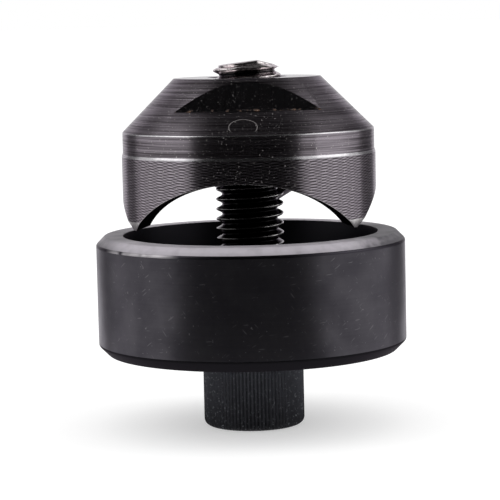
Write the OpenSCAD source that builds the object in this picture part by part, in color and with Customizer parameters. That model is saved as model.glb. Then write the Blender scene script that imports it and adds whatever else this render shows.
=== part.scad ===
// Knockout punch: a toothed punch that a socket-head screw draws down into a cup-shaped die,
// so that a sheet held between the two is cut to a round hole.
// Lengths are in millimetres. +Z is up and the front faces -Y. The origin is the centre of the
// screw head's lower face, on which the set stands.

/* [Draw screw] */
// Major diameter of the screw's thread
screw_d = 12; // [8:0.5:16]
// Length of the screw under its head
screw_len = 53; // [46:0.5:75]
// Diameter of the knurled head
head_d = 18; // [15:0.5:24]
// Height of the head
head_h = 12; // [9:0.5:16]
// Chamfer round the head's lower edge
head_edge = 1.2; // [0.4:0.1:2]
// Hexagon socket, across flats
socket_af = 10; // [6:0.5:11]
// Depth of the hexagon socket
socket_depth = 6; // [4:0.5:8]
// Pitch of the screw's thread
thread_pitch = 1.75; // [1:0.25:2.5]
// Turn of the thread round the screw's axis
thread_turn = 115; // [0:5:355]
// Length of the plain shank and neck between the head and the thread
shank_len = 17; // [10:0.5:22]
// Chamfer on the end of the thread
screw_end_edge = 1.2; // [0.5:0.1:2]
// Number of ridges round the head
ridges = 84; // [48:4:96]
// Height of those ridges
ridge_h = 0.32; // [0.1:0.02:0.5]

/* [Thrust washer] */
// Outside diameter of the washer
washer_d = 20; // [17:0.5:30]
// Thickness of the washer
washer_t = 1.5; // [1:0.1:4]
// Chamfer on the washer's rims
washer_edge = 0.3; // [0.1:0.05:0.5]
// Radial clearance of the washer and of the die's floor round the shank
shank_gap = 0.5; // [0.2:0.05:1]

/* [Die] */
// Wall of the die beside its bore
die_wall = 4.8; // [3.5:0.1:10]
// Height of the die
die_h = 21; // [17:0.5:35]
// Thickness of the die's floor
die_floor = 8; // [5:0.5:12]
// Chamfer round the die's upper edge
die_face_edge = 1.5; // [0.5:0.1:2.5]
// Chamfer round the die's lower edge
die_foot_edge = 1.7; // [0.5:0.1:2.5]

/* [Punch] */
// Diameter of the punch's cutting band, which is the size of the hole that it cuts
punch_d = 45; // [38:0.5:60]
// Radial clearance between the punch and the die's bore
cut_gap = 0.2; // [0.1:0.05:0.5]
// Gap between the die's face and the tips of the teeth
punch_lift = 1.6; // [0.5:0.1:6]
// Number of teeth round the punch
teeth = 3; // [3:1:5]
// Height of the teeth, from the tips to the crown of the scoops between them
tooth_h = 8.6; // [6:0.1:10]
// Height worn off the points of the teeth
tip_wear = 0.5; // [0.1:0.05:1]
// Rise of a scoop's crown from the apex of its cone out to the band
scoop_rise = 1.3; // [0.5:0.1:3]
// Distance from the axis back to the apex of a scoop's cone
apex_back = 2; // [1:0.5:4]
// Turn of the front scoop from the wrench flats
scoop_turn = -4.5; // [-60:0.5:60]
// Wall of the toothed band, round the recess in the punch's lower end
band_wall = 3.2; // [2.5:0.1:6]
// Rise of the recess's flat end above the crown of the scoops
recess_rise = 1.5; // [0.8:0.1:2.5]
// Chamfer in the inner corner of the recess
recess_edge = 0.8; // [0.3:0.1:1.2]
// Height of the bevel ground on the tips of the teeth
tip_edge_h = 1.5; // [0.8:0.1:3]
// Depth of that bevel
tip_edge = 0.4; // [0.2:0.05:0.8]
// Height of the cutting band above the tips
cut_band_h = 13.1; // [12.1:0.1:20]
// Step in radius from the cutting band to the upper band
band_step = 0.2; // [0.1:0.05:0.6]
// Height of the sloped edge of that step
band_step_h = 0.5; // [0.3:0.1:1]
// Height of the upper band, from the step to the shoulder
upper_band_h = 3.6; // [2:0.1:8]
// Diameter of the punch's top face
top_d = 26; // [22:0.5:30]
// Slope of the cone between the shoulder and the top face, from level
cone_angle = 45; // [35:1:55]
// Distance across the two wrench flats
flats_af = 27; // [22:0.5:31]
// Drop from the top face to the ledges under the flats
flats_drop = 5.5; // [3:0.1:6]
// Radial clearance of the tapped bore on the thread's crests
thread_gap = 0.1; // [0.05:0.01:0.2]
// Countersink at both mouths of the tapped bore
bore_edge = 0.9; // [0.3:0.1:1.5]

/* [Hidden] */
$fn = 128;
// Distance that a cutter runs past the face that it opens
over = 1;
// Radii
screw_r = screw_d / 2;
head_r = head_d / 2;
shank_hole_r = screw_r + shank_gap;
punch_r = punch_d / 2;
upper_r = punch_r - band_step;
top_r = top_d / 2;
tapped_r = screw_r + thread_gap;
die_bore_r = punch_r + cut_gap;
die_r = die_bore_r + die_wall;
// Heights up the axis, stacked from the head's lower face
thread_z = head_h + shank_len;
die_foot_z = head_h + washer_t;
die_floor_z = die_foot_z + die_floor;
die_face_z = die_foot_z + die_h;
tip_z = die_face_z + punch_lift;
step_z = tip_z + cut_band_h;
shoulder_z = step_z + upper_band_h;
top_z = shoulder_z + (upper_r - top_r) * tan(cone_angle);
ledge_z = top_z - flats_drop;
crown_z = tip_z + tooth_h;
recess_r = punch_r - band_wall;
recess_z = crown_z + recess_rise;
// A scoop is a cone with its apex a little behind the axis. Its half angle makes two neighbours meet
// on the line of a tooth, at the point that the tooth had before it was worn.
apex_z = crown_z - scoop_rise;
point_h = tooth_h + tip_wear;
point_x = punch_r * sin(180 / teeth);
point_y = punch_r * cos(180 / teeth) + apex_back;
point_run = norm([point_x, point_y]);
crown_slope = atan(scoop_rise / (punch_r + apex_back));
point_slope = atan((scoop_rise - point_h) / point_run);
point_cos = point_y / point_run;
scoop_run = 1 - point_cos * cos(point_slope) * cos(crown_slope) - sin(point_slope) * sin(crown_slope);
scoop_fall = point_cos * cos(point_slope) * sin(crown_slope) - sin(point_slope) * cos(crown_slope);
scoop_angle = atan(scoop_run / scoop_fall);
// Depth of the thread's groove, and facets in a turn of it
thread_depth = 0.6134 * thread_pitch;
thread_steps = 24;
// Radius of the neck between the shank and the thread
neck_r = screw_r - 1.25 * thread_depth;
// Point of the drill that opens the socket
drill_angle = 120;
drill_point_h = socket_af / 2 / tan(drill_angle / 2);

// The turned outside of the punch: cutting band, step, upper band, cone and top face
module punch_blank() {
    rotate_extrude()
        polygon([
            [0, tip_z],
            [punch_r - tip_edge, tip_z],
            [punch_r, tip_z + tip_edge_h],
            [punch_r, step_z - band_step_h],
            [upper_r, step_z],
            [upper_r, shoulder_z],
            [top_r, top_z],
            [0, top_z]
        ]);
}

// One milled scoop through the front of the band. The cone starts inside the recess, short of its apex.
module scoop() {
    start = recess_r / 2 * cos(scoop_angle);
    translate([0, apex_back, apex_z])
        rotate([90 + scoop_angle - crown_slope, 0, 0])
            translate([0, 0, start])
                cylinder(r1 = start * tan(scoop_angle), r2 = punch_d * tan(scoop_angle), h = punch_d - start);
}

// The recess that takes the bent slug, turned into the punch's lower end
module slug_recess() {
    rotate_extrude()
        polygon([
            [0, tip_z - over],
            [recess_r, tip_z - over],
            [recess_r, recess_z - recess_edge],
            [recess_r - recess_edge, recess_z],
            [0, recess_z]
        ]);
}

// The metal milled off the cone to leave two flats for a spanner
module wrench_flats() {
    for (side = [0, 1])
        mirror([0, side, 0])
            translate([-punch_r, flats_af / 2, ledge_z])
                cube([punch_d, punch_r, flats_drop + over]);
}

// The bore that takes the thread, with a countersink at each mouth
module tapped_bore() {
    rotate_extrude()
        polygon([
            [0, recess_z - over],
            [tapped_r + bore_edge + over, recess_z - over],
            [tapped_r, recess_z + bore_edge],
            [tapped_r, top_z - bore_edge],
            [tapped_r + bore_edge + over, top_z + over],
            [0, top_z + over]
        ]);
}

module punch() {
    color("dimgray")
        difference() {
            punch_blank();
            slug_recess();
            for (i = [0 : teeth - 1])
                rotate([0, 0, scoop_turn + i * 360 / teeth])
                    scoop();
            wrench_flats();
            tapped_bore();
        }
}

// A cup: the bore's upper edge cuts, and the floor bears on the washer
module die() {
    color("darkslategray")
        rotate_extrude()
            polygon([
                [shank_hole_r, die_foot_z],
                [die_r - die_foot_edge, die_foot_z],
                [die_r, die_foot_z + die_foot_edge],
                [die_r, die_face_z - die_face_edge],
                [die_r - die_face_edge, die_face_z],
                [die_bore_r, die_face_z],
                [die_bore_r, die_floor_z],
                [shank_hole_r, die_floor_z]
            ]);
}

// The hexagon socket with its drilled point, open at the head's lower face
module hex_socket() {
    translate([0, 0, -over])
        cylinder(d = socket_af / cos(30), h = socket_depth + over, $fn = 6);
    translate([0, 0, socket_depth])
        cylinder(d1 = socket_af, d2 = 0, h = drill_point_h);
}

// A right-hand thread from one closed surface: a helical rib of four edges, the root between its
// turns, and a flat fan on each end
module threaded_rod(major_r, minor_r, pitch, turns, steps) {
    flank = (major_r - minor_r) * tan(30);
    crest = pitch / 8;
    outline = [[minor_r, 0], [major_r, flank], [major_r, flank + crest], [minor_r, 2 * flank + crest]];
    last = turns * steps;
    points = concat(
        [for (i = [0 : last], p = outline)
            [p[0] * cos(360 * i / steps), p[0] * sin(360 * i / steps), p[1] + pitch * i / steps]],
        [[0, 0, 0], [0, 0, pitch * (turns + 1)]]
    );
    foot = 4 * (last + 1);
    tip = foot + 1;
    thread = [for (i = [0 : last - 1], j = [0 : 2], half = [0, 1])
        half == 0 ? [4 * i + j, 4 * i + j + 1, 4 * i + j + 4]
                  : [4 * i + j + 1, 4 * i + j + 5, 4 * i + j + 4]];
    root = [for (i = [0 : last - steps - 1], half = [0, 1])
        half == 0 ? [4 * i + 3, 4 * (i + steps), 4 * i + 7]
                  : [4 * (i + steps), 4 * (i + steps + 1), 4 * i + 7]];
    base = [for (i = [0 : steps - 1]) [foot, 4 * i, 4 * i + 4]];
    lid = [for (i = [last - steps : last - 1]) [4 * i + 3, tip, 4 * i + 7]];
    base_step = [[foot, 4 * steps, 3], [0, foot, 3], [0, 3, 2, 1]];
    top = 4 * last;
    lid_step = [[top - 4 * steps + 3, top, tip], [top, top + 3, tip], [top, top + 1, top + 2, top + 3]];
    polyhedron(points, concat(thread, root, base, lid, base_step, lid_step), convexity = 20);
}

// The ridged head, the plain shank and the neck before the thread, with the socket open below
module screw_head() {
    difference() {
        union() {
            intersection() {
                rotate_extrude()
                    polygon([
                        [0, 0],
                        [head_r - head_edge, 0],
                        [head_r + over, head_edge + over],
                        [head_r + over, head_h],
                        [0, head_h]
                    ]);
                linear_extrude(height = head_h)
                    polygon([for (i = [0 : 2 * ridges - 1])
                        (i % 2 == 0 ? head_r : head_r - ridge_h)
                            * [sin(180 * i / ridges), -cos(180 * i / ridges)]]);
            }
            cylinder(r = screw_r, h = thread_z - thread_pitch);
            cylinder(r = neck_r, h = thread_z + over);
        }
        hex_socket();
    }
}

// The thread from the neck to the chamfered end
module screw_thread() {
    run = screw_len - shank_len;
    turns = ceil(run / thread_pitch) + 2;
    intersection() {
        translate([0, 0, thread_z - thread_pitch])
            rotate([0, 0, thread_turn])
                threaded_rod(screw_r, screw_r - thread_depth, thread_pitch, turns, thread_steps);
        translate([0, 0, thread_z])
            rotate_extrude()
                polygon([
                    [0, 0],
                    [screw_r + over, 0],
                    [screw_r + over, run - screw_end_edge - over],
                    [screw_r - screw_end_edge, run],
                    [0, run]
                ]);
    }
}

module draw_screw() {
    color("dimgray") {
        screw_head();
        screw_thread();
    }
}

// The hardened washer between the turning head and the still die
module thrust_washer() {
    washer_r = washer_d / 2;
    color("slategray")
        translate([0, 0, head_h])
            rotate_extrude()
                polygon([
                    [shank_hole_r, 0],
                    [washer_r - washer_edge, 0],
                    [washer_r, washer_edge],
                    [washer_r, washer_t - washer_edge],
                    [washer_r - washer_edge, washer_t],
                    [shank_hole_r, washer_t]
                ]);
}

punch();
die();
draw_screw();
thrust_washer();
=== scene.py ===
"""Knockout punch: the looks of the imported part, laid out as an add-on and run as a script.

Every piece is built from its own sizes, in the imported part's frame, and stands for one of its nodes.
"""

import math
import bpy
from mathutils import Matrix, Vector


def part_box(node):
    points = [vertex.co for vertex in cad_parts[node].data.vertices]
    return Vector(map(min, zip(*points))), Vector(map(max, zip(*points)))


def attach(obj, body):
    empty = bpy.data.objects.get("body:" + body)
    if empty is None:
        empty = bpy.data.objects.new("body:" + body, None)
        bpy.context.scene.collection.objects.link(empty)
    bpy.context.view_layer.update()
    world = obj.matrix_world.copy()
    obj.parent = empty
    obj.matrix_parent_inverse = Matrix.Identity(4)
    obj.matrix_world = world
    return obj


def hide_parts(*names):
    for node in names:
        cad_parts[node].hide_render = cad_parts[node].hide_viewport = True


bl_info = {
    "name": "Knockout punch",
    "version": (1, 0, 0),
    "blender": (4, 5, 0),
    "location": "3D View > Sidebar > Knockout punch",
    "description": "Builds the punch, die, screw and washer of a knockout punch, and a plain stage",
    "category": "Object",
}

from functools import cached_property

import bmesh
import bpy
import numpy as np
from bpy.props import FloatProperty, FloatVectorProperty, IntProperty, PointerProperty
from bpy.types import Operator, Panel, PropertyGroup
from mathutils import Matrix, Vector

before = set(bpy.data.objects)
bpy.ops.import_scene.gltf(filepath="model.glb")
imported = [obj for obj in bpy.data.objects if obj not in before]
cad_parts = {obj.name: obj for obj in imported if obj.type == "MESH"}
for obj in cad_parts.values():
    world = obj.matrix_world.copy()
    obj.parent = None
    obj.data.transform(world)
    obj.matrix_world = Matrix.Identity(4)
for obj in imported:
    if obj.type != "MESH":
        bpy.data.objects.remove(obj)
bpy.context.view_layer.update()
BOXES = {name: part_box(name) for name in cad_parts}
MM = 0.001
TAU = 2 * math.pi
# How much of the light blackened steel gives back where it is seen at a low angle
PUNCH_EDGE = (0.65, 0.62, 0.66, 1)
DIE_EDGE = (0.85, 0.82, 0.88, 1)
# Colour of the dark patches on bare steel
GRIME = (0.1, 0.092, 0.098)
# Depth of the fine grain of the steel
GRAIN = 0.006 * MM
# Depth of a metric thread as a share of its pitch, and the slope of its flanks
THREAD_DEPTH = 0.6134
FLANK_ANGLE = math.radians(30)
# Slope of a drilled point from the axis
DRILL_ANGLE = math.radians(60)
# Largest share of a side that a rounding may take, and the least length that counts as a side
MOST_ROUND = 0.45
LEAST_SIDE = 1e-12
# Points nearer than this are welded, and edges shorter than the second length are taken out
WELD_GAP = 0.002 * MM
LEAST_EDGE = 0.001 * MM


def length(name, description, default):
    """A size in metres, given as its default in millimetres."""
    size = default * MM
    return FloatProperty(name=name, description=description, default=size, min=0, precision=5, unit="LENGTH")


def turn(name, description, default):
    """An angle, given as its default in degrees."""
    angle = math.radians(default)
    return FloatProperty(name=name, description=description, default=angle, unit="ROTATION")


def share(name, description, default):
    """A plain number."""
    return FloatProperty(name=name, description=description, default=default, min=0)


def count(name, description, default, low, high):
    """A whole number between two limits."""
    return IntProperty(name=name, description=description, default=default, min=low, max=high)


def colour(name, description, default):
    """A linear colour."""
    limits = {"min": 0, "max": 1}
    return FloatVectorProperty(name=name, description=description, default=default, subtype="COLOR", **limits)


def top_of(node):
    """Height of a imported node's upper end, in millimetres."""
    return BOXES[node][1].z / MM


def foot_of(node):
    """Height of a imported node's lower end, in millimetres."""
    return BOXES[node][0].z / MM


def radius_of(node):
    """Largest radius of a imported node, in millimetres."""
    return (BOXES[node][1].x - BOXES[node][0].x) / 2 / MM


class KnockoutPunchSettings(PropertyGroup):
    """Sizes and colours of the punch."""

    band_r: length("Band radius", "Radius of the cutting band", radius_of("punch"))
    tip_z: length("Tips", "Height of the tips of the teeth", foot_of("punch"))
    top_z: length("Top", "Height of the top face", top_of("punch"))
    tooth_h: length("Tooth height", "Height of the scoops' crown above the tips", 8.6)
    tip_wear: length("Tip wear", "Height worn off the teeth", 0.5)
    scoop_rise: length("Scoop rise", "Rise of a scoop's crown from its apex", 1.3)
    apex_back: length("Apex", "Distance of a scoop's apex behind the axis", 2.0)
    scoop_turn: turn("Scoop turn", "Turn of the front scoop from the front flat", -4.5)
    teeth: count("Teeth", "Number of teeth", 3, 3, 5)
    band_wall: length("Band wall", "Wall of the toothed band round the recess", 3.2)
    recess_rise: length("Recess rise", "Rise of the recess's end above the crown", 1.5)
    recess_edge: length("Recess edge", "Chamfer in the corner of the recess", 0.8)
    tip_edge_h: length("Tip bevel height", "Height of the bevel on the tips", 1.5)
    tip_edge: length("Tip bevel depth", "Depth of the bevel on the tips", 0.4)
    tip_round: length("Scoop edge", "Rounding of the scoops' edges", 0.06)
    bevel_round: length("Bevel edge", "Rounding of the bevel's upper edge", 0.05)
    bevel_gap: length("Bevel gap", "Least height of the bevel above a scoop's edge", 0.25)
    band_h: length("Band height", "Height of the cutting band above the tips", 13.1)
    step: length("Step", "Step in radius between the two bands", 0.2)
    step_h: length("Step height", "Height of the step's slope", 0.5)
    upper_h: length("Upper band height", "Height of the upper band", 3.6)
    shoulder_round: length("Shoulder edge", "Rounding of the shoulder under the cone", 0.15)
    top_r: length("Top radius", "Radius of the top face", 13)
    flats_r: length("Flats", "Distance from the axis to a wrench flat", 13.5)
    flats_drop: length("Flats drop", "Drop from the top face to the ledges", 5.5)
    bore_r: length("Bore", "Radius of the tapped bore", 6.1)
    bore_edge: length("Bore edge", "Countersink of the bore", 0.9)
    edge: length("Edge break", "Radius of the broken edges", 0.12)
    feed: length("Feed", "Spacing of the turning lines", 0.48)
    feed_lean: share("Feed lean", "Slope of the turning lines up to the back", 0.1)
    waves: count("Chatter waves", "Number of chatter waves round the band", 61, 1, 200)
    scratch_left: length("Scratch place", "Distance of the ring scratch left of the front", 0.85)
    scratch_rise: length("Scratch rise", "Rise of the ring scratch above the shoulder", 1.4)
    scratch_w: length("Scratch width", "Half the width of the ring scratch", 2.4)
    scratch_h: length("Scratch height", "Half the height of the ring scratch", 1.25)
    oxide: colour("Oxide", "Colour of the blackened steel", (0.05, 0.043, 0.048))
    worn: colour("Worn oxide", "Colour of the lines where the oxide is thin", (0.315, 0.283, 0.315))
    flat: colour("Flats", "Colour of the milled flats", (0.105, 0.1, 0.11))
    # Painted shade: scoops, recess and bore are darker than the outer oxide.
    inside: colour("Inside", "Colour of scoops, recess and bore", (0.012, 0.0115, 0.0125))
    bare: colour("Bare steel", "Colour of bare worn edges", (0.62, 0.6, 0.6))
    polished: colour("Polished edge", "Colour of the polished step and shoulder", (0.5, 0.485, 0.505))
    top: colour("Top face", "Colour of the top face", (0.3, 0.285, 0.3))
    rust: colour("Rust", "Colour of the brown specks along the ledges", (0.17, 0.1, 0.06))
    dust: colour("Dust", "Colour of dust and scratches", (0.6, 0.57, 0.55))


class KnockoutDieSettings(PropertyGroup):
    """Sizes and colours of the die."""

    outer_r: length("Radius", "Outside radius", radius_of("die"))
    foot_z: length("Foot", "Height of the lower face", foot_of("die"))
    face_z: length("Face", "Height of the rim", top_of("die"))
    bore_r: length("Bore", "Radius of the bore", 22.7)
    floor_h: length("Floor", "Thickness of the floor", 8)
    hole_r: length("Hole", "Radius of the hole in the floor", 6.5)
    face_edge: length("Upper chamfer", "Chamfer round the upper edge", 1.5)
    foot_edge: length("Lower chamfer", "Chamfer round the lower edge", 1.7)
    edge: length("Edge break", "Radius of the broken edges", 0.18)
    wall_round: length("Wall edge", "Rounding between the wall and its chamfers", 0.3)
    bore_round: length("Cutting edge", "Rounding of the bore's cutting edge", 0.08)
    floor_round: length("Floor corner", "Rounding between bore and floor", 0.5)
    oxide: colour("Oxide", "Colour of the blackened steel", (0.036, 0.0335, 0.0405))
    worn: colour("Worn oxide", "Colour where the oxide is thin", (0.1, 0.095, 0.105))
    scratch: colour("Scratches", "Colour of specks and short scratches", (0.3, 0.29, 0.3))
    # Painted shade: the lower chamfer is darkened where it reflects the shaded floor under the die.
    foot: colour("Lower chamfer colour", "Colour of the lower chamfer", (0.012, 0.0115, 0.0135))
    # Painted shade: the bore and floor are darker than the oxide outside.
    inside: colour("Inside", "Colour of the bore and the floor", (0.022, 0.021, 0.025))
    ground: colour("Ground rim", "Colour of the ground rim and chamfer", (0.5, 0.47, 0.51))
    # Painted highlight: a bright line along the lower edge of the chamfer on the front left.
    painted_highlight: colour("Burr", "Colour of the bright line along the chamfer", (0.34, 0.325, 0.34))


class KnockoutScrewSettings(PropertyGroup):
    """Sizes and colours of the draw screw and its washer."""

    thread_r: length("Thread radius", "Radius of the thread's crests", 6)
    pitch: length("Pitch", "Pitch of the thread", 1.75)
    thread_turn: turn("Thread turn", "Turn of the thread round the axis", 115)
    flank_round: share("Flank rounding", "How far the flanks are rounded, from 0 to 1", 0.4)
    shank_h: length("Shank", "Length of the plain shank and neck", 17)
    shank_round: length("Shank fillet", "Fillet between the head and the shank", 0.4)
    neck_edge: length("Neck edge", "Height of the slope between shank and neck", 0.1)
    neck_depth: share("Neck depth", "Depth of the neck, in depths of the thread", 1.25)
    top_z: length("Top", "Height of the screw's end", top_of("draw_screw"))
    end_edge: length("End chamfer", "Chamfer on the end of the thread", 1.2)
    worn_h: length("Worn end", "Length of the bare, worn end", 3)
    peak: length("End peak", "Distance of the worn end's peak right of the axis", 1.8)
    lean_h: length("End lean", "Height over which the worn end leans", 1.2)
    left_fall: share("Left fall", "Slope of the worn end left of its peak", 0.11)
    right_fall: share("Right fall", "Slope of the worn end right of its peak", 0.25)
    head_r: length("Head radius", "Radius of the head over its ridges", radius_of("draw_screw"))
    head_h: length("Head height", "Height of the head", 12)
    head_edge: length("Head edge", "Rounding of the head's lower edge", 1.2)
    head_top_edge: length("Head upper edge", "Chamfer on the head's upper edge", 1.0)
    ridges: count("Ridges", "Number of ridges round the head", 84, 40, 120)
    ridge_h: length("Ridge height", "Height of the ridges", 0.32)
    ridge_end: length("Ridge end", "Drop from the head's upper face to the full ridges", 1.1)
    socket_r: length("Socket", "Half the socket's width across its flats", 5)
    socket_h: length("Socket depth", "Depth of the hexagon socket", 6)
    socket_edge: length("Socket edge", "Chamfer on the socket's edge", 0.25)
    washer_r: length("Washer radius", "Outside radius of the washer", radius_of("thrust_washer"))
    washer_hole_r: length("Washer hole", "Radius of the washer's hole", 6.5)
    washer_edge: length("Washer edge", "Chamfer on the washer's rims", 0.3)
    washer_round: length("Washer edge break", "Radius of the washer's broken edges", 0.08)
    oxide: colour("Oxide", "Colour of the blackened screw", (0.006, 0.006, 0.0065))
    worn: colour("Worn oxide", "Colour where the oxide is thin", (0.035, 0.034, 0.035))
    head: colour("Head", "Colour of the knurled head", (0.05, 0.052, 0.061))
    # Painted shade: the head darkens towards its lower edge.
    head_painted_shade: colour("Head foot", "Colour of the head near its lower edge", (0.012, 0.0125, 0.015))
    # Painted glints: pale specks on the head that stand in for its sparkle.
    painted_glint: colour("Head grain", "Colour of the pale grains on the head", (0.16, 0.165, 0.18))
    crest: colour("Crests", "Colour of the thread's worn crests", (0.5, 0.49, 0.49))
    end: colour("Bare end", "Colour of the worn end", (0.8, 0.74, 0.74))
    washer: colour("Washer", "Colour of the washer", (0.06, 0.06, 0.062))
    washer_worn: colour("Worn washer", "Colour where its oxide is thin", (0.1, 0.1, 0.1))


class KnockoutStageSettings(PropertyGroup):
    """The stage: camera, floor, cards and light."""

    distance: length("Distance", "Distance of the camera in front of the axis", 373.9)
    height: length("Height", "Height of the camera", 71.7)
    pitch: turn("Pitch", "Downward tilt of the camera", 6.17)
    yaw: turn("Yaw", "Turn of the camera to the right", -0.022)
    roll: turn("Roll", "Roll of the camera", -1.29)
    view: turn("View", "Field of view", 13.53)
    floor: colour("Floor", "Colour of the floor", (0.7, 0.7, 0.7))
    glow: share("Floor glow", "Light that the floor gives off", 0.4)
    dark: colour("Dark card", "Colour of the dark cards", (0.019, 0.019, 0.019))
    flag: colour("Side flag", "Colour of the side flags", (0.22, 0.22, 0.22))
    roof: colour("Roof card", "Colour of the roof card", (0.07, 0.07, 0.07))
    front_r: length("Front card", "Distance of the dark card in front", 900)
    front_h: length("Front card height", "Height of the dark card in front", 1200)
    flag_r: length("Flags", "Distance of the flags from the axis", 125)
    flag_h: length("Flag height", "Height of the flags", 160)
    near_r: length("Floor cards", "Distance of the floor's cards from the axis", 50)
    card_gap: length("Card gap", "Height of the cards on the floor above it", 0.1)
    roof_z: length("Roof", "Height of the roof card", 900)
    key: share("Key light", "Power of the soft boxes in watts", 1.2)


def settings():
    """The scene's settings for this add-on."""
    return bpy.context.scene.knockout_punch


# Meshes


def columns(number):
    """Azimuths from the front, spread evenly round the axis."""
    return np.arange(number) * TAU / number


def spread(pairs, number):
    """Rows of (radius, height), each drawn out to one value for each column."""
    rows = [[np.broadcast_to(value, number) for value in pair] for pair in pairs]
    return np.array(rows).transpose(0, 2, 1)


def filleted(corners, radii, steps):
    """Rounds the corners of a closed profile. corners has shape (corner, column, 2)."""
    rows = []
    number = len(corners)
    for i in range(number):
        here, before, after = corners[i], corners[i - 1], corners[(i + 1) % number]
        back, on = before - here, after - here
        back_len = np.linalg.norm(back, axis=1, keepdims=True)
        on_len = np.linalg.norm(on, axis=1, keepdims=True)
        reach = np.minimum(radii[i], MOST_ROUND * np.minimum(back_len, on_len))
        a = here + back / np.maximum(back_len, LEAST_SIDE) * reach
        b = here + on / np.maximum(on_len, LEAST_SIDE) * reach
        for s in np.linspace(0, 1, steps + 1):
            rows.append((1 - s) ** 2 * a + 2 * s * (1 - s) * here + s**2 * b)
    return np.array(rows)


def grid_points(rows, azimuth):
    """Points of rows of (radius, height), one column for each azimuth from the front."""
    r, z = rows[..., 0], rows[..., 1]
    return np.stack([r * np.sin(azimuth), -r * np.cos(azimuth), z], axis=-1).reshape(-1, 3)


def grid_faces(row_count, number, first=0, closed=False):
    """Quads of a grid that closes round the axis, and along the profile if closed."""
    j = np.arange(number)
    k = (j + 1) % number
    faces = []
    for i in range(row_count if closed else row_count - 1):
        a, b = first + i * number, first + (i + 1) % row_count * number
        faces += np.stack([a + j, a + k, b + k, b + j], axis=1).tolist()
    return faces


def make_piece(name, points, faces, materials, face_slots, angle=40, weld=True):
    """A mesh object with smooth faces, sharp where they meet at more than the angle in degrees."""
    mesh = bpy.data.meshes.new(name)
    mesh.from_pydata([tuple(p) for p in points], [], faces)
    for material in materials:
        mesh.materials.append(material)
    mesh.polygons.foreach_set("material_index", np.asarray(face_slots, np.int32))
    if weld:
        work = bmesh.new()
        work.from_mesh(mesh)
        bmesh.ops.remove_doubles(work, verts=work.verts, dist=WELD_GAP)
        bmesh.ops.dissolve_degenerate(work, edges=work.edges, dist=LEAST_EDGE)
        work.to_mesh(mesh)
        work.free()
    mesh.shade_smooth()
    mesh.set_sharp_from_angle(angle=math.radians(angle))
    piece = bpy.data.objects.new(name, mesh)
    bpy.context.scene.collection.objects.link(piece)
    return piece


def turned_piece(name, rows, azimuth, materials, steps):
    """A closed piece turned from a profile with rounded corners.

    Each row is one corner: its radius, height and rounding, the number of the rounding's material, and
    that of the face beyond it. All but the rounding may vary from column to column.
    """
    number = len(azimuth)
    corners = spread([row[:2] for row in rows], number)
    profile = filleted(corners, [row[2] for row in rows], steps)
    slots = []
    for row in rows:
        for slot in [row[3]] * steps + [row[4]]:
            slots.append(np.broadcast_to(slot, number))
    faces = grid_faces(len(profile), number, closed=True)
    return make_piece(name, grid_points(profile, azimuth), faces, materials, np.concatenate(slots))


def seat(piece, node, body):
    """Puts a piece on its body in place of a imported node."""
    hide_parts(node)
    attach(piece, body)


# Materials


class Field:
    """A number, place or colour that varies over a surface. Numbers can be added, multiplied and so on."""

    def __init__(self, graph, socket):
        self.graph = graph
        self.socket = socket

    def __add__(self, other):
        return self.graph.math("ADD", self, other)

    def __sub__(self, other):
        return self.graph.math("SUBTRACT", self, other)

    def __rsub__(self, other):
        return self.graph.math("SUBTRACT", other, self)

    def __mul__(self, other):
        return self.graph.math("MULTIPLY", self, other)

    def __truediv__(self, other):
        return self.graph.math("DIVIDE", self, other)


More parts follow.
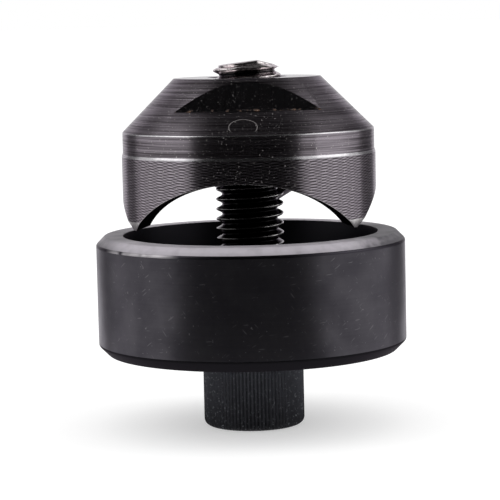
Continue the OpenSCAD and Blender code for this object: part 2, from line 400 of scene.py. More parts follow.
class Graph:
    """A material built from nodes. Lengths are in metres, and noise has its scale in cells to the metre."""

    def __init__(self, name):
        self.material = bpy.data.materials.new(name)
        self.material.use_nodes = True
        self.tree = self.material.node_tree
        self.tree.nodes.clear()

    def node(self, kind, values=(), **attributes):
        """A new node, with each input linked to a field or set to a constant."""
        made = self.tree.nodes.new(kind)
        for key, value in attributes.items():
            setattr(made, key, value)
        for key, value in dict(values).items():
            if isinstance(value, Field):
                self.tree.links.new(value.socket, made.inputs[key])
            else:
                made.inputs[key].default_value = value
        return made

    def field(self, kind, values=(), output=0, **attributes):
        """One output of a new node."""
        return Field(self, self.node(kind, values, **attributes).outputs[output])

    def math(self, operation, a, b=0.0):
        return self.field("ShaderNodeMath", {0: a, 1: b}, operation=operation)

    def sine(self, a):
        return self.math("SINE", a)

    def root(self, a):
        return self.math("SQRT", a)

    def larger(self, a, b):
        return self.math("MAXIMUM", a, b)

    def clamped(self, a):
        """A number kept between 0 and 1."""
        return self.field("ShaderNodeClamp", {"Value": a})

    def ramp(self, factor, low, high, start=0.0, stop=1.0):
        """A number that goes from start to stop as factor goes from low to high."""
        values = {"Value": factor, "From Min": low, "From Max": high, "To Min": start, "To Max": stop}
        return self.field("ShaderNodeMapRange", values, "Result", clamp=True)

    def mix(self, factor, a, b):
        """A colour between two others. Its sockets come after those for numbers and vectors."""
        first, second = (value if isinstance(value, Field) else (*value, 1) for value in (a, b))
        return self.field("ShaderNodeMix", {0: factor, 6: first, 7: second}, 2, data_type="RGBA")

    def noise(self, place, scale=1.0, detail=2):
        """Cloudy noise, mostly between 0.2 and 0.8."""
        values = {"Vector": place, "Scale": scale, "Detail": detail}
        return self.field("ShaderNodeTexNoise", values, "Fac")

    def specks(self, scale, low, high, most):
        """Small specks where a fine noise passes from low to high."""
        return self.ramp(self.noise(self.place, scale, detail=1), low, high, 0.0, most)

    def sector(self, start, full, fade, end, bend=0.0):
        """1 between two azimuths, and 0 beyond the outer two. All four are in degrees from the front."""
        azimuth = self.azimuth + bend
        rise = self.ramp(azimuth, math.radians(start), math.radians(full))
        return rise * self.ramp(azimuth, math.radians(fade), math.radians(end), 1.0, 0.0)

    def stretched(self, level, upright):
        """The place times cells to the metre, level and upright, for patterns that close round the axis."""
        values = {0: self.place, 1: (level, level, upright)}
        return self.field("ShaderNodeVectorMath", values, operation="MULTIPLY")

    @cached_property
    def place(self):
        return self.field("ShaderNodeTexCoord", output="Object")

    @cached_property
    def split(self):
        return self.node("ShaderNodeSeparateXYZ", {0: self.place}).outputs

    @cached_property
    def x(self):
        return Field(self, self.split[0])

    @cached_property
    def y(self):
        return Field(self, self.split[1])

    @cached_property
    def z(self):
        return Field(self, self.split[2])

    @cached_property
    def radius(self):
        return self.root(self.x * self.x + self.y * self.y)

    @cached_property
    def azimuth(self):
        """Angle round the axis from the front, in radians."""
        return self.math("ARCTAN2", self.x, self.y * -1.0)

    def steel(
        self, base, roughness, height=None, depth=GRAIN, anisotropic=0.0, metallic=1.0, edge=PUNCH_EDGE
    ):
        """A metal surface with an optional bump, and the output."""
        values = {"Base Color": base, "Metallic": metallic, "Roughness": roughness, "Specular Tint": edge}
        if height is not None:
            bump = {"Height": height, "Strength": 1.0, "Distance": depth}
            values["Normal"] = self.field("ShaderNodeBump", bump)
        if anisotropic:
            values["Anisotropic"] = anisotropic
            values["Anisotropic Rotation"] = 0.25
            values["Tangent"] = self.field("ShaderNodeTangent", direction_type="RADIAL", axis="Z")
        shader = self.field("ShaderNodeBsdfPrincipled", values)
        self.node("ShaderNodeOutputMaterial", {"Surface": shader})
        return self.material


def chatter_marks(g, s):
    """Turning lines that lean a little, woven by the chatter's waves round the cutting band."""
    leaning = g.z - g.y * s.feed_lean
    wander = g.noise(g.stretched(300.0, 350.0))
    drift = g.noise(g.stretched(200.0, 600.0), detail=1)
    lines = g.sine(leaning * (TAU / s.feed) + wander * 4.0)
    waves = g.sine(g.azimuth * s.waves + drift * 6.0)
    return lines * g.ramp(waves, -1.0, 1.0, -0.45, 1.0)


def ring_scratch(g, s, shoulder_z):
    """A fine scratch on the front of the cone, an oval that is open at its foot."""
    across = (g.x + s.scratch_left) / s.scratch_w
    along = (g.z - (shoulder_z + s.scratch_rise)) / s.scratch_h
    off_line = g.math("ABSOLUTE", g.root(across * across + along * along) - 1.0)
    open_foot = g.ramp(along, -0.7, -0.4)
    front = g.ramp(g.y, -s.flats_r - 1.5 * MM, -s.flats_r - 0.5 * MM, 0.4, 0.0)
    return g.ramp(off_line, 0.015, 0.05, 1.0, 0.0) * open_foot * front


def punch_steel(s, step_z, shoulder_z):
    """Blackened steel with turning lines, chatter marks on the cutting band, dust, one ring scratch, and a
    painted sheen on the right of the upper band.
    """
    g = Graph("punch_oxide")
    band_top = step_z - s.step_h
    band = g.ramp(g.z, band_top - 0.3 * MM, band_top, 1.0, 0.0)
    marked = g.clamped(chatter_marks(g, s) + 0.4)
    turning = g.noise(g.stretched(40.0, 5600.0))
    under_shoulder = g.ramp(g.z, shoulder_z, shoulder_z + 0.05 * MM, 1.0, 0.0)
    # Painted sheen: a lighter zone on the right of the upper band, where it catches the light.
    thin = g.sector(29.8, 31.5, 45.8, 57.3) * g.ramp(g.z, step_z, shoulder_z, 0.3, 0.18) * under_shoulder
    turned = g.clamped(g.ramp(turning, 0.37, 0.66, 0.03, 0.7) + thin)
    tone = marked * band + turned * (1.0 - band)
    dust = g.larger(ring_scratch(g, s, shoulder_z), g.specks(3900.0, 0.69, 0.74, 0.5))
    base = g.mix(dust, g.mix(tone, s.oxide, s.worn), s.dust)
    height = tone * 0.8 + g.noise(g.place, 3000.0) * 0.4
    rough = g.ramp(turning, 0.3, 0.7, 0.35, 0.26)
    return g.steel(base, rough, height, anisotropic=0.8, metallic=1.0 - dust)


def flat_steel(s, ledge_z):
    """The milled wrench flats, with upright cutting lines, dust, and brown specks along the ledge."""
    g = Graph("punch_flat")
    cuts = g.noise(g.stretched(2500.0, 120.0))
    milled = g.mix(g.ramp(cuts, 0.55, 0.8, 0.0, 0.5), s.flat, s.oxide)
    corner = g.ramp(g.z, ledge_z + 0.1 * MM, ledge_z + 0.45 * MM, 1.0, 0.0)
    rust = g.ramp(g.noise(g.place, 1100.0), 0.5, 0.62) * corner
    dust = g.specks(3900.0, 0.66, 0.74, 0.3)
    base = g.mix(dust, g.mix(rust, milled, s.rust), s.dust)
    return g.steel(base, 0.3, cuts, depth=0.003 * MM, metallic=1.0 - g.larger(rust, dust))


def bare_steel(name, light, rough=0.3, patch=0.45):
    """Bare metal of a worn edge or facet, with darker patches."""
    g = Graph(name)
    patches = g.noise(g.place, 1500.0, detail=3)
    base = g.mix(g.ramp(patches, 0.35, 0.65, patch, 0.0), light, GRIME)
    return g.steel(base, rough, patches)


def scoop_steel(s):
    """Dark milled steel inside the punch; its darkness is painted shade."""
    g = Graph("punch_inside_painted_shade")
    cuts = g.noise(g.stretched(1500.0, 300.0))
    return g.steel(g.mix(cuts, s.inside, s.oxide), 0.5, cuts, depth=0.01 * MM)


def hairs(g, s, lean, seed):
    """Short hair scratches on the unrolled wall of the die, leaning by an angle in radians."""
    around = g.azimuth * s.outer_r
    across = g.z * math.cos(lean) - around * math.sin(lean)
    along = around * math.cos(lean) + g.z * math.sin(lean)
    drawn_out = g.field("ShaderNodeCombineXYZ", {0: across * 3200.0, 1: along * 450.0, 2: seed})
    return g.ramp(g.noise(drawn_out, detail=0), 0.78, 0.83, 0.0, 0.13)


def die_steel(s):
    """Satin black oxide with fine specks and scratches."""
    g = Graph("die_oxide")
    lines = g.noise(g.stretched(50.0, 2500.0))
    cloud = g.noise(g.place, 180.0, detail=4)
    tone = g.clamped(g.ramp(cloud, 0.35, 0.7, 0.0, 0.3) + lines * 0.15)
    flaws = g.specks(2300.0, 0.73, 0.78, 0.22)
    for lean, seed in ((0.6, 1.0), (-0.9, 5.0), (0.1, 9.0)):
        flaws = g.larger(flaws, hairs(g, s, lean, seed))
    base = g.mix(flaws, g.mix(tone, s.oxide, s.worn), s.scratch)
    height = lines * 0.3 + g.noise(g.place, 4200.0)
    rough = g.ramp(cloud, 0.3, 0.7, 0.4, 0.33)
    return g.steel(base, rough, height, 0.004 * MM, anisotropic=0.3, metallic=0.9 - flaws, edge=DIE_EDGE)


def rim_steel(s):
    """The ground rim and chamfer of the die, matt and pale, with stains, painted shade on either side, and
    darker towards the chamfer's lower edge.
    """
    g = Graph("die_rim")
    rings = g.noise(g.stretched(50.0, 4000.0))
    wear = g.noise(g.place, 420.0, detail=4)
    bend = g.ramp(wear, 0.3, 0.7, -0.05, 0.05)
    # Painted shade: the rim darkens towards its right and left sides, where it faces away from the light.
    right = g.sector(35.5, 60.2, 108.9, 131.8, bend) * 0.85
    left = g.sector(-131.8, -108.9, -68.8, -54.4, bend) * 0.6
    low = g.ramp(g.z, s.face_z - s.face_edge, s.face_z - 0.4 * s.face_edge, 0.35, 0.0)
    stain_and_painted_shade = g.ramp(wear, 0.45, 0.75, 0.0, 0.25) + right + left + low
    base = g.mix(g.clamped(stain_and_painted_shade), s.ground, s.worn)
    return g.steel(base, 0.55, rings, depth=0.004 * MM, metallic=0.3)


def painted_highlight_steel(s):
    """The edge under the chamfer: a painted highlight, a bright line on the front left, oxide elsewhere."""
    g = Graph("die_edge_painted_highlight")
    left = g.sector(-65.9, -60.2, -34.4, -25.8)
    broken = g.ramp(g.noise(g.place, 260.0), 0.25, 0.45)
    return g.steel(g.mix(left * broken, s.oxide, s.painted_highlight), 0.35)


def clouded(g, oxide, worn):
    """Oxide of the screw or washer, worn thin in clouds."""
    return g.mix(g.ramp(g.noise(g.place, 900.0, detail=4), 0.45, 0.75), oxide, worn)


def rod_steel(s):
    """Blackened steel of the shank and thread, bare along the crests, and brighter on the right with a
    painted highlight.
    """
    g = Graph("screw_oxide")
    thread_z = s.head_h + s.shank_h
    crest = g.ramp(g.radius, s.thread_r - 0.3 * MM, s.thread_r - 0.05 * MM)
    # Painted highlight: the worn crests are brighter towards the right, where they catch the light.
    right = g.ramp(g.x, 0.0, 0.6 * s.thread_r, 0.4, 1.0)
    threaded = g.ramp(g.z, thread_z, thread_z + 0.5 * MM)
    base = g.mix(crest * right * threaded, clouded(g, s.oxide, s.worn), s.crest)
    return g.steel(base, 0.2, g.noise(g.place, 4000.0))


def head_steel(s):
    """Matt oxide of the knurled head, with painted shade towards its lower edge and pale specks painted as
    glints.
    """
    g = Graph("screw_head")
    cloud = g.noise(g.place, 900.0, detail=4)
    # Painted shade: darker towards the head's lower edge.
    rise = g.clamped(g.ramp(g.z, 0.0, 0.85 * s.head_h) + g.ramp(cloud, 0.3, 0.7, -0.15, 0.15))
    # Painted glints as pale specks.
    painted_glints = g.specks(2400.0, 0.6, 0.75, 0.6)
    base = g.mix(painted_glints, g.mix(rise, s.head_painted_shade, s.head), s.painted_glint)
    return g.steel(base, 0.5, g.noise(g.place, 4000.0), metallic=0.6)


def end_steel(s):
    """Bare metal of the screw's worn end, with dark patches, and painted shade in the thread's groove below
    the end.
    """
    g = Graph("screw_end")
    patches = g.noise(g.place, 1500.0, detail=3)
    # Painted shade: the thread's groove below the end is darkened.
    shaded_groove = g.ramp(g.radius, s.thread_r - 1.05 * MM, s.thread_r - 0.8 * MM, 1.0, 0.0)
    below_end = g.ramp(g.z, s.top_z - 1.9 * MM, s.top_z - 1.5 * MM, 1.0, 0.0)
    dirt_and_painted_shade = g.larger(shaded_groove * below_end, g.ramp(patches, 0.3, 0.55, 0.6, 0.0))
    return g.steel(g.mix(dirt_and_painted_shade, s.end, s.oxide), 0.16, patches)


def washer_steel(s):
    """Blackened steel of the washer."""
    g = Graph("washer_oxide")
    return g.steel(clouded(g, s.washer, s.washer_worn), 0.35, g.noise(g.place, 4000.0))


# Pieces


class KNOCKOUT_OT_punch(Operator):
    """Build the punch, with its teeth, bands, cone, wrench flats and bore"""

    bl_idname = "knockout.punch"
    bl_label = "Punch"

    COLUMNS = 720
    # Rounds in which the edge of the scoops settles
    ROUNDS = 6

    def execute(self, context):
        s = settings().punch
        step_z = s.tip_z + s.band_h
        shoulder_z = step_z + s.upper_h
        ledge_z = s.top_z - s.flats_drop
        crown_z = s.tip_z + s.tooth_h
        bevel_top = s.tip_z + s.tip_edge_h
        recess_r = s.band_r - s.band_wall
        recess_z = crown_z + s.recess_rise
        sink_r = s.bore_r + s.bore_edge
        upper_r = s.band_r - s.step
        slope = (s.top_z - shoulder_z) / (upper_r - s.top_r)
        ledge_r = upper_r - (ledge_z - shoulder_z) / slope

        azimuth = self.key_columns(s, ledge_r)
        outer_r, outer_z = self.outer_edge(s, crown_z, azimuth)
        inner_z = self.bottom(s, crown_z, recess_r, azimuth)
        bevel_z = np.maximum(outer_z + s.bevel_gap, bevel_top)
        flat_r = np.minimum(s.flats_r / np.maximum(np.abs(np.cos(azimuth)), 1e-6), ledge_r)
        flat_top = np.minimum(shoulder_z + (upper_r - flat_r) * slope, s.top_z)

        materials = [
            punch_steel(s, step_z, shoulder_z),
            bare_steel("punch_bare", s.bare),
            scoop_steel(s),
            bare_steel("punch_polished", s.polished, rough=0.2, patch=0.2),
            flat_steel(s, ledge_z),
            bare_steel("punch_top", s.top, rough=0.14, patch=0.2),
        ]
        oxide, bare, inside, polished, flat, top = range(len(materials))
        tips = np.where(outer_z < bevel_top - s.bevel_round, bare, oxide)
        rows = [
            (outer_r, outer_z, s.tip_round, bare, tips),
            (s.band_r, bevel_z, s.bevel_round, tips, oxide),
            (s.band_r, step_z - s.step_h, s.edge, polished, polished),
            (upper_r, step_z, s.edge, oxide, oxide),
            (upper_r, shoulder_z, s.shoulder_round, polished, oxide),
            (ledge_r, ledge_z, s.edge, oxide, oxide),
            (flat_r, ledge_z, s.edge, flat, flat),
            (flat_r, flat_top, s.edge, oxide, oxide),
            (s.top_r, s.top_z, s.edge, oxide, top),
            (sink_r, s.top_z, s.edge, oxide, oxide),
            (s.bore_r, s.top_z - s.bore_edge, s.edge, inside, inside),
            (s.bore_r, recess_z + s.bore_edge, s.edge, inside, inside),
            (sink_r, recess_z, s.edge, inside, inside),
            (recess_r - s.recess_edge, recess_z, s.edge, inside, inside),
            (recess_r, recess_z - s.recess_edge, s.edge, inside, inside),
            (recess_r, inner_z, s.tip_round, inside, inside),
        ]
        piece = turned_piece("punch_body", rows, azimuth, materials, steps=3)
        seat(piece, "punch", "punch")
        return {"FINISHED"}

    @classmethod
    def key_columns(cls, s, ledge_r):
        """Azimuths of the columns, some moved to the ledges' ends and the ridges between the scoops."""
        azimuth = columns(cls.COLUMNS)
        meet = math.acos(s.flats_r / ledge_r)
        ridges = [s.scoop_turn + TAU * (i + 0.5) / s.teeth for i in range(s.teeth)]
        for key in [meet, math.pi - meet, math.pi + meet, TAU - meet] + ridges:
            nearest = np.abs((azimuth - key + math.pi) % TAU - math.pi).argmin()
            azimuth[nearest] = key % TAU
        azimuth.sort()
        return azimuth

    @classmethod
    def outer_edge(cls, s, crown_z, azimuth):
        """Radius and height of the scoops' outer edge, settled in rounds where the bevel takes it inward."""
        r = s.band_r
        for _ in range(cls.ROUNDS):
            z = cls.bottom(s, crown_z, r, azimuth)
            r = s.band_r - s.tip_edge * np.clip(1 - (z - s.tip_z) / s.tip_edge_h, 0, 1)
        return r, z

    @staticmethod
    def bottom(s, crown_z, r, azimuth):
        """Height of the scooped lower end at a radius: a tilted cone for each scoop, level at the tips."""
        part = TAU / s.teeth
        off = (azimuth - s.scoop_turn + part / 2) % part - part / 2
        apex_z = crown_z - s.scoop_rise
        point_h = s.tooth_h + s.tip_wear
        half = math.pi / s.teeth
        run = math.hypot(s.band_r * math.sin(half), s.band_r * math.cos(half) + s.apex_back)
        point_cos = (s.band_r * math.cos(half) + s.apex_back) / run
        crown = math.atan(s.scoop_rise / (s.band_r + s.apex_back))
        point = math.atan((s.scoop_rise - point_h) / run)
        level = 1 - point_cos * math.cos(point) * math.cos(crown) - math.sin(point) * math.sin(crown)
        fall = point_cos * math.cos(point) * math.sin(crown) - math.sin(point) * math.cos(crown)
        opening = math.atan(level / fall)
        tilt = crown - opening
        side, ahead = r * np.sin(off), r * np.cos(off) + s.apex_back
        reach = np.hypot(side, ahead)
        a, b = ahead / reach * math.cos(tilt), math.sin(tilt)
        rise = math.cos(opening) / np.hypot(a, b)
        height = apex_z + reach * np.tan(np.arctan2(b, a) + np.arccos(np.clip(rise, -1, 1)))
        return np.maximum(height, s.tip_z)


class KNOCKOUT_OT_die(Operator):
    """Build the die, a turned cup with a ground rim"""

    bl_idname = "knockout.die"
    bl_label = "Die"

    COLUMNS = 384

    def execute(self, context):
        s = settings().die
        floor_z = s.foot_z + s.floor_h
        materials = [
            die_steel(s),
            rim_steel(s),
            # Painted highlight along the chamfer's lower edge.
            painted_highlight_steel(s),
            # Painted shade on the lower chamfer, darker than the oxide.
            bare_steel("die_foot_painted_shade", s.foot, rough=0.6, patch=0.0),
            # Painted shade inside the die's cup.
            bare_steel("die_inside_painted_shade", s.inside, rough=0.4, patch=0.0),
        ]
        oxide, rim, painted_highlight, foot, inside = range(len(materials))
        rows = [
            (s.hole_r, s.foot_z, s.edge, oxide, oxide),
            (s.outer_r - s.foot_edge, s.foot_z, s.edge, foot, foot),
            (s.outer_r, s.foot_z + s.foot_edge, s.wall_round, foot, oxide),
            (s.outer_r, s.face_z - s.face_edge, s.wall_round, painted_highlight, rim),
            (s.outer_r - s.face_edge, s.face_z, s.edge, rim, rim),
            (s.bore_r, s.face_z, s.bore_round, rim, inside),
            (s.bore_r, floor_z, s.floor_round, inside, inside),
            (s.hole_r, floor_z, s.edge, inside, inside),
        ]
        piece = turned_piece("die_body", rows, columns(self.COLUMNS), materials, steps=4)
        seat(piece, "die", "die")
        return {"FINISHED"}


class KNOCKOUT_OT_screw(Operator):
    """Build the draw screw, with its knurled head, hexagon socket and thread"""

    bl_idname = "knockout.screw"
    bl_label = "Draw screw"

    # Columns of the head to one ridge, and to one column of the rod
    TO_RIDGE = 6
    TO_ROD = 3

    def execute(self, context):
        s = settings().screw
        wide = s.ridges * self.TO_RIDGE
        thin = wide // self.TO_ROD
        head, drill_point = self.head(s, columns(wide))
        rod, worn_row, end_point = self.rod(s, columns(thin))
        head_points = grid_points(head, columns(wide))
        rod_points = grid_points(rod, columns(thin))
        points = np.concatenate([head_points, rod_points, [drill_point, end_point]])
        drill, end = len(points) - 2, len(points) - 1
        first = len(head_points)
        rim, last = first - wide, drill - thin
        rod_faces = grid_faces(len(rod), thin, first)
        upper_face = []
        for j in range(thin):
            outer = [rim + (self.TO_ROD * j + k) % wide for k in range(self.TO_ROD + 1)]
            upper_face.append(outer + [first + (j + 1) % thin, first + j])

        materials = [rod_steel(s), head_steel(s), end_steel(s)]
        on_rod, on_head, on_end = range(len(materials))
        groups = [
            (on_head, grid_faces(len(head), wide)),
            (on_rod, rod_faces[: worn_row * thin]),
            (on_end, rod_faces[worn_row * thin :]),
            (on_head, upper_face),
            (on_head, [[drill, (j + 1) % wide, j] for j in range(wide)]),
            (on_end, [[last + j, last + (j + 1) % thin, end] for j in range(thin)]),
        ]
        faces = [face for _, group in groups for face in group]
        slots = [slot for slot, group in groups for _ in group]
        piece = make_piece("draw_screw_body", points, faces, materials, slots, angle=50, weld=False)
        seat(piece, "draw_screw", "screw")
        return {"FINISHED"}

    @staticmethod
    def head(s, azimuth):
        """Rings of the head, from the socket's drilled point to its upper face, and that point."""
        fold = (azimuth + math.pi / 6) % (math.pi / 3) - math.pi / 6
        hexagon = s.socket_r / np.cos(fold)
        groove = np.abs((azimuth * s.ridges / TAU) % 1 - 0.5) * 2 * s.ridge_h
        point_h = s.socket_r / math.tan(DRILL_ANGLE)
        near_point, near_flats, part_way = 0.05, 0.999, 0.6
        inset, runout_h, dip, drop = 0.3 * MM, 0.5 * MM, 0.08 * MM, 0.1 * MM
        end_r = s.head_r - s.head_edge - inset
        wall_top = s.head_h - s.ridge_end
        rings = [
            (s.socket_r * near_point, s.socket_h + point_h * (1 - near_point)),
            (s.socket_r * near_flats, s.socket_h),
            (hexagon, s.socket_h),
            (hexagon, s.socket_edge),
            (hexagon + s.socket_edge, 0),
            (end_r, 0),
        ]
        for t in np.linspace(0, math.pi / 2, 7)[1:]:
            edge_r = s.head_r - s.head_edge * (1 - math.sin(t))
            rings.append((edge_r - groove * min(t, 1), s.head_edge * (1 - math.cos(t))))
        for z in (s.head_h / 4, s.head_h / 2, s.head_h * 3 / 4, wall_top):
            rings.append((s.head_r - groove, z))
        rings += [
            (s.head_r - groove * part_way - dip, wall_top + runout_h),
            (s.head_r - part_way * s.head_top_edge, s.head_h - drop),
            (s.head_r - s.head_top_edge, s.head_h),
        ]
        return spread(rings, len(azimuth)), (0, 0, s.socket_h + point_h)

    @staticmethod
    def rod(s, azimuth):
        """Rings of the shank and thread, the first row of the worn end, and the end's peak."""
        start = s.head_h + s.shank_h
        neck_z = start - s.pitch
        depth = THREAD_DEPTH * s.pitch
        flank = depth * math.tan(FLANK_ANGLE)
        half_crest = s.pitch / 16
        row_h, least_row = s.pitch / 16, 0.02 * MM
        heights = np.concatenate([
            [s.head_h, s.head_h + s.shank_round, neck_z, neck_z + s.neck_edge, start - s.neck_edge / 2],
            np.arange(start, s.top_z - least_row, row_h),
            [s.top_z],
        ])
        z = heights[:, None] * np.ones_like(azimuth)
        crest_z = start + flank + half_crest
        phase = (z - crest_z) / s.pitch - (azimuth - math.pi / 2 - s.thread_turn) / TAU + 0.5
        from_crest = np.abs(phase % 1 - 0.5) * s.pitch
        cut = np.clip((from_crest - half_crest) / flank, 0, 1)
        rounded = cut * cut * (3 - 2 * cut)
        r = s.thread_r - depth * (cut + s.flank_round * (rounded - cut))
        r = np.where(z < start, s.thread_r - s.neck_depth * depth, r)
        r = np.where(z < neck_z + s.neck_edge / 2, s.thread_r, r)
        r[0] = s.thread_r + s.shank_round
        r = np.minimum(r, s.thread_r - s.end_edge + (s.top_z - z))
        x = r * np.sin(azimuth)
        fall = np.where(x < s.peak, s.left_fall * (s.peak - x), s.right_fall * (x - s.peak))
        near_end = np.clip((z - s.top_z) / s.lean_h + 1, 0, 1)
        rows = np.stack([r, z - fall * near_end], axis=-1)
        return rows, np.searchsorted(heights, s.top_z - s.worn_h), (s.peak, 0, s.top_z)


class KNOCKOUT_OT_washer(Operator):
    """Build the thrust washer under the die"""

    bl_idname = "knockout.washer"
    bl_label = "Thrust washer"

    COLUMNS = 192

    def execute(self, context):
        s = settings().screw
        low, high = BOXES["thrust_washer"][0].z, BOXES["thrust_washer"][1].z
        profile = [
            (s.washer_hole_r, low),
            (s.washer_r - s.washer_edge, low),
            (s.washer_r, low + s.washer_edge),
            (s.washer_r, high - s.washer_edge),
            (s.washer_r - s.washer_edge, high),
            (s.washer_hole_r, high),
        ]
        rows = [(r, z, s.washer_round, 0, 0) for r, z in profile]
        piece = turned_piece("washer_body", rows, columns(self.COLUMNS), [washer_steel(s)], steps=2)
        seat(piece, "thrust_washer", "screw")
        return {"FINISHED"}


class KNOCKOUT_OT_stage(Operator):
    """Build the floor, the cards, the light and the camera"""

    bl_idname = "knockout.stage"
    bl_label = "Stage"

    # Azimuths from the front between which the cards stand, and those on the floor lie, in degrees
    FRONT, FRONT_FLOOR = (-53, 48), (-52, 47)
    LEFT, LEFT_FLOOR = (-136, -113), (-126, -113)
    RIGHT, RIGHT_FLOOR = (112, 143), (112, 128)
    # Points of a bent card along each edge
    CARD_POINTS = 25
    # Places and lengths in metres
    FRONT_FOOT = -0.3
    ROOF = ((-0.65, -0.8), (0.95, -0.8), (0.95, 0.85), (-0.65, 0.85))
    FLOOR_HALF = 40.0
    FLOOR_DROP = 0.05 * MM
    SOFT_BOXES = {"left_box": (-0.7, -0.12, 0.6), "right_box": (0.7, -0.05, 0.5)}
    SOFT_BOX_SIZE = (0.5, 0.6)
    LIGHT_AIM = (0, 0, 0.03)
    CLIP = (0.01, 50)
    # Width of the camera's sensor in millimetres
    SENSOR = 36

    def execute(self, context):
        s = settings().stage
        self.floor(s)
        self.cards(s)
        self.world(context)
        self.lights(context, s)
        self.camera(context, s)
        return {"FINISHED"}

    @staticmethod
    def flat_object(name, points, faces, material):
        """A mesh object with one material."""
        mesh = bpy.data.meshes.new(name)
        mesh.from_pydata(points, [], faces)
        mesh.materials.append(material)
        made = bpy.data.objects.new(name, mesh)
        bpy.context.scene.collection.objects.link(made)
        return made

    @staticmethod
    def plain(name, tint, glow=0.0):
        """A plain matt material, which may also give off light."""
        g = Graph(name)
        surface = g.field("ShaderNodeBsdfDiffuse", {"Color": (*tint, 1)})
        if glow:
            light = g.field("ShaderNodeEmission", {"Strength": glow})
            surface = g.field("ShaderNodeAddShader", {0: surface, 1: light})
        g.node("ShaderNodeOutputMaterial", {"Surface": surface})
        return g.material

    def floor(self, s):
        half = self.FLOOR_HALF
        points = [(-half, -half, 0), (half, -half, 0), (half, half, 0), (-half, half, 0)]
        floor = self.flat_object("floor", points, [(0, 1, 2, 3)], self.plain("floor_white", s.floor, s.glow))
        floor.location.z = -self.FLOOR_DROP

    def cards(self, s):
        """Dark cards in front, flags at the sides and a roof, for the steel to reflect, and cards on the
        floor that paint a darker reflection of the floor near the object.
        """
        near, by_flag, by_front = ((r, s.card_gap) for r in (s.near_r, s.flag_r, s.front_r))
        flag_low, flag_high = (s.flag_r, 0), (s.flag_r, s.flag_h)
        front_low, front_high = (s.front_r, self.FRONT_FOOT), (s.front_r, s.front_h)
        self.bent_card("dark_front", s.dark, self.FRONT, front_low, front_high)
        self.bent_card("dark_left", s.flag, self.LEFT, flag_low, flag_high)
        self.bent_card("dark_right", s.flag, self.RIGHT, flag_low, flag_high)
        self.card("dark_top", s.roof, [(x, y, s.roof_z) for x, y in self.ROOF], [(0, 1, 2, 3)])
        # Painted reflection: cards on the floor, seen only in reflections, darken the floor there.
        self.bent_card("dark_floor", s.dark, self.FRONT_FLOOR, near, by_front)
        self.bent_card("left_floor", s.flag, self.LEFT_FLOOR, near, by_flag)
        self.bent_card("right_floor", s.flag, self.RIGHT_FLOOR, near, by_flag)

    def bent_card(self, name, tint, span, one, other):
        """A card bent round the axis over a span of azimuths, between two edges of (radius, height)."""
        angles = np.radians(np.linspace(*span, self.CARD_POINTS))
        points = [(r * math.sin(a), -r * math.cos(a), z) for a in angles for r, z in (one, other)]
        faces = [(2 * i, 2 * i + 2, 2 * i + 3, 2 * i + 1) for i in range(len(angles) - 1)]
        self.card(name, tint, points, faces)

    def card(self, name, tint, points, faces):
        """A card that only reflections see."""
        card = self.flat_object(name, points, faces, self.plain(name, tint))
        card.visible_camera = False
        card.visible_diffuse = False
        card.visible_shadow = False
        card.visible_transmission = False

    @staticmethod
    def world(context):
        world = bpy.data.worlds.new("white_studio")
        world.use_nodes = True
        background = world.node_tree.nodes["Background"].inputs
        background["Color"].default_value = (1, 1, 1, 1)
        background["Strength"].default_value = 1.0
        context.scene.world = world

    def lights(self, context, s):
        """Two soft boxes, aimed at the object from either side."""
        for name, place in self.SOFT_BOXES.items():
            lamp = bpy.data.lights.new(name, "AREA")
            lamp.shape = "RECTANGLE"
            lamp.size, lamp.size_y = self.SOFT_BOX_SIZE
            lamp.energy = s.key
            box = bpy.data.objects.new(name, lamp)
            box.location = place
            aim = Vector(self.LIGHT_AIM) - Vector(place)
            box.rotation_euler = aim.to_track_quat("-Z", "Y").to_euler()
            context.scene.collection.objects.link(box)

    def camera(self, context, s):
        """The camera, set by its place, its turns and its field of view."""
        data = bpy.data.cameras.new("camera")
        data.sensor_fit = "HORIZONTAL"
        data.sensor_width = self.SENSOR
        data.lens = self.SENSOR / 2 / math.tan(s.view / 2)
        data.clip_start, data.clip_end = self.CLIP
        camera = bpy.data.objects.new("camera", data)
        forward = math.cos(s.pitch)
        ahead = Vector((math.sin(s.yaw) * forward, math.cos(s.yaw) * forward, -math.sin(s.pitch)))
        right = Vector((math.cos(s.yaw), -math.sin(s.yaw), 0))
        up = right.cross(ahead)
        level, rise = math.cos(s.roll), math.sin(s.roll)
        right, up = right * level + up * rise, up * level - right * rise
        axes = Matrix((right, up, -ahead)).transposed().to_4x4()
        camera.matrix_world = Matrix.Translation((0, -s.distance, s.height)) @ axes
        context.scene.collection.objects.link(camera)
        context.scene.camera = camera


# Add-on


def group(kind, name, description):
    """A group of settings."""
    return PointerProperty(type=kind, name=name, description=description)


class KnockoutSettings(PropertyGroup):
    """All the settings of the add-on."""

    punch: group(KnockoutPunchSettings, "Punch", "Sizes and colours of the punch")
    die: group(KnockoutDieSettings, "Die", "Sizes and colours of the die")
    screw: group(KnockoutScrewSettings, "Screw", "Sizes and colours of the screw and its washer")
    stage: group(KnockoutStageSettings, "Stage", "Camera, floor, cards and light")


OPERATORS = (KNOCKOUT_OT_punch, KNOCKOUT_OT_die, KNOCKOUT_OT_screw, KNOCKOUT_OT_washer, KNOCKOUT_OT_stage)


class KNOCKOUT_PT_pieces(Panel):
    """Lists the pieces and their settings"""

    bl_idname = "KNOCKOUT_PT_pieces"
    bl_label = "Knockout punch"
    bl_space_type = "VIEW_3D"
    bl_region_type = "UI"
    bl_category = "Knockout punch"

    def draw(self, context):
        for operator in OPERATORS:
            self.layout.operator(operator.bl_idname)
        for part in KnockoutSettings.__annotations__:
            box = self.layout.box()
            box.label(text=part.title())
            values = getattr(context.scene.knockout_punch, part)
            for key in values.__annotations__:
                box.prop(values, key)


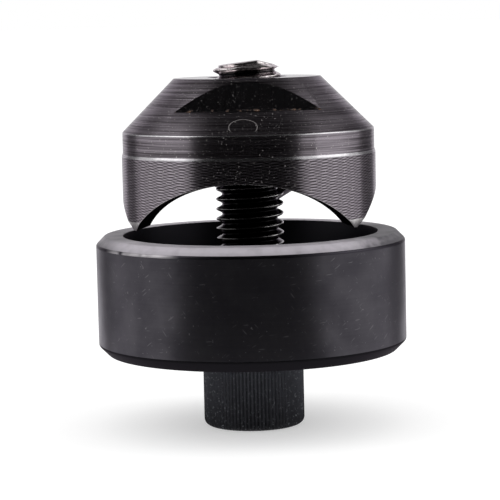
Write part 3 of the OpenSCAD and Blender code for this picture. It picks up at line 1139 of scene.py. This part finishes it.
CLASSES = (
    KnockoutPunchSettings,
    KnockoutDieSettings,
    KnockoutScrewSettings,
    KnockoutStageSettings,
    KnockoutSettings,
    *OPERATORS,
    KNOCKOUT_PT_pieces,
)


def register():
    for item in CLASSES:
        bpy.utils.register_class(item)
    bpy.types.Scene.knockout_punch = PointerProperty(type=KnockoutSettings)


def unregister():
    del bpy.types.Scene.knockout_punch
    for item in reversed(CLASSES):
        bpy.utils.unregister_class(item)


def main():
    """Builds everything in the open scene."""
    register()
    bpy.context.scene.view_settings.view_transform = "Standard"
    bpy.ops.knockout.punch()
    bpy.ops.knockout.die()
    bpy.ops.knockout.screw()
    bpy.ops.knockout.washer()
    bpy.ops.knockout.stage()


if __name__ == "__main__":
    main()
